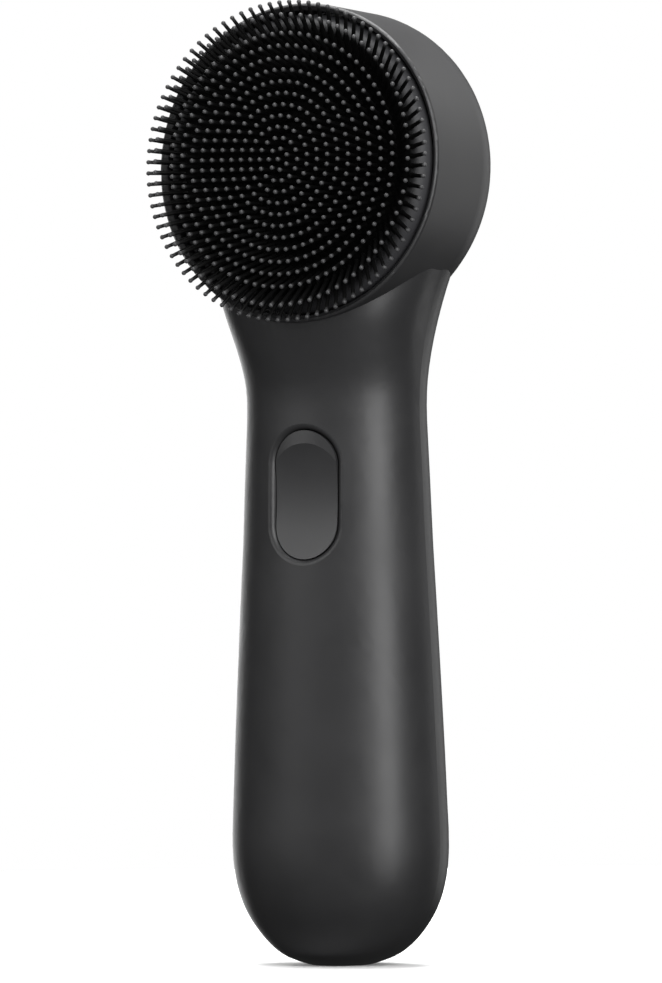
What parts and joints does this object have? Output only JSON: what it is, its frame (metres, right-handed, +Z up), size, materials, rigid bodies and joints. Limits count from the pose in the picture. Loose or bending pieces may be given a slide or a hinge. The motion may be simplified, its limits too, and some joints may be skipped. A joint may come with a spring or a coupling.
{
  "type": "facial cleansing brush",
  "caption": "Cordless facial cleansing brush: a tapered grip with a press button and a round head that carries a spinning, pull-off silicone brush disc.",
  "frame": {"origin": "centre of the charging socket's mouth, at the bottom end of the handle", "axes": "+Z up the handle to the head, -Y out of the brush side, +X to the right seen from the front"},
  "size_m": [0.0632, 0.0406, 0.19],
  "materials": {
    "shell_abs": "satin charcoal soft-touch coating on moulded ABS",
    "button_abs": "satin charcoal ABS, slightly smoother than the shell",
    "carrier_abs": "moulded black ABS",
    "pad_silicone": "smooth dark silicone rubber",
    "bristle_silicone": "black silicone rubber bristles",
    "seal_silicone": "grey silicone seal",
    "inner_plastic": "natural ABS inner moulding",
    "gear_acetal": "white acetal gears",
    "switch_plastic": "black moulded component bodies",
    "socket_plastic": "black moulded socket body",
    "board_laminate": "green glass-epoxy laminate with solder mask",
    "steel": "plain steel",
    "nickel": "nickel plate",
    "contact_brass": "brass",
    "bush_bronze": "sintered bronze",
    "magnet": "ferrite magnet",
    "winding": "enamelled copper winding on a laminated core",
    "cell_can": "drawn aluminium can of the lithium cell",
    "wire_cover": "insulated leads"
  },
  "bodies": {
    "handle": {"front_shell": "shell_abs", "back_shell": "shell_abs", "shell_gasket": "seal_silicone", "button_seal": "seal_silicone", "tact_switch": "switch_plastic", "circuit_board": "board_laminate", "board_components": "switch_plastic", "board_screws": "steel", "battery_cell": "cell_can", "battery_cradle": "inner_plastic", "battery_tabs": "nickel", "battery_leads": "wire_cover", "motor_leads": "wire_cover", "charging_socket": "socket_plastic", "socket_contacts": "contact_brass", "socket_seal": "seal_silicone", "gearbox_plate": "inner_plastic", "gearbox_screws": "steel", "front_bush": "bush_bronze", "rear_bush": "bush_bronze", "spindle_seal": "seal_silicone", "idler_pin": "steel", "motor_can": "steel", "motor_end_cap": "inner_plastic", "motor_magnets": "magnet"},
    "motor_rotor": {"motor_shaft": "steel", "motor_armature": "winding", "motor_pinion": "contact_brass"},
    "idler": {"idler_gear": "gear_acetal"},
    "spindle": {"spindle": "steel", "output_gear": "gear_acetal", "spindle_collar": "steel"},
    "brush_head": {"brush_carrier": "carrier_abs", "carrier_magnet": "nickel", "bristle_pad": "pad_silicone", "bristle_field": "bristle_silicone"},
    "button": {"button_cap": "button_abs"},
    "switch_plunger": {"switch_plunger": "switch_plastic"}
  },
  "joints": [
    {"name": "brush_spin", "type": "hinge", "parent": "handle", "child": "spindle", "pos_m": [0, 0, 0.1573], "axis": [0, -0.9962, 0.0872], "continuous": true},
    {"name": "brush_head_pull", "type": "slide", "parent": "spindle", "child": "brush_head", "axis": [0, -0.9962, 0.0872], "range_m": [0, 0.022]},
    {"name": "idler_spin", "type": "hinge", "parent": "handle", "child": "idler", "pos_m": [0.01262, -0.00082, 0.14791], "axis": [0, -0.9962, 0.0872], "continuous": true},
    {"name": "motor_spin", "type": "hinge", "parent": "handle", "child": "motor_rotor", "pos_m": [0, -0.00135, 0.14186], "axis": [0, -0.9962, 0.0872], "continuous": true},
    {"name": "button_press", "type": "slide", "parent": "handle", "child": "button", "axis": [0, 1, 0], "range_m": [0, 0.0006], "stiffness_N_per_m": 400, "springref_m": -0.003},
    {"name": "plunger_press", "type": "slide", "parent": "handle", "child": "switch_plunger", "axis": [0, 1, 0], "range_m": [0, 0.0006]}
  ],
  "couplings": [
    {"joint": "idler_spin", "follows": "brush_spin", "ratio": -3.5},
    {"joint": "motor_spin", "follows": "brush_spin", "ratio": 10.5},
    {"joint": "plunger_press", "follows": "button_press", "ratio": 1}
  ]
}
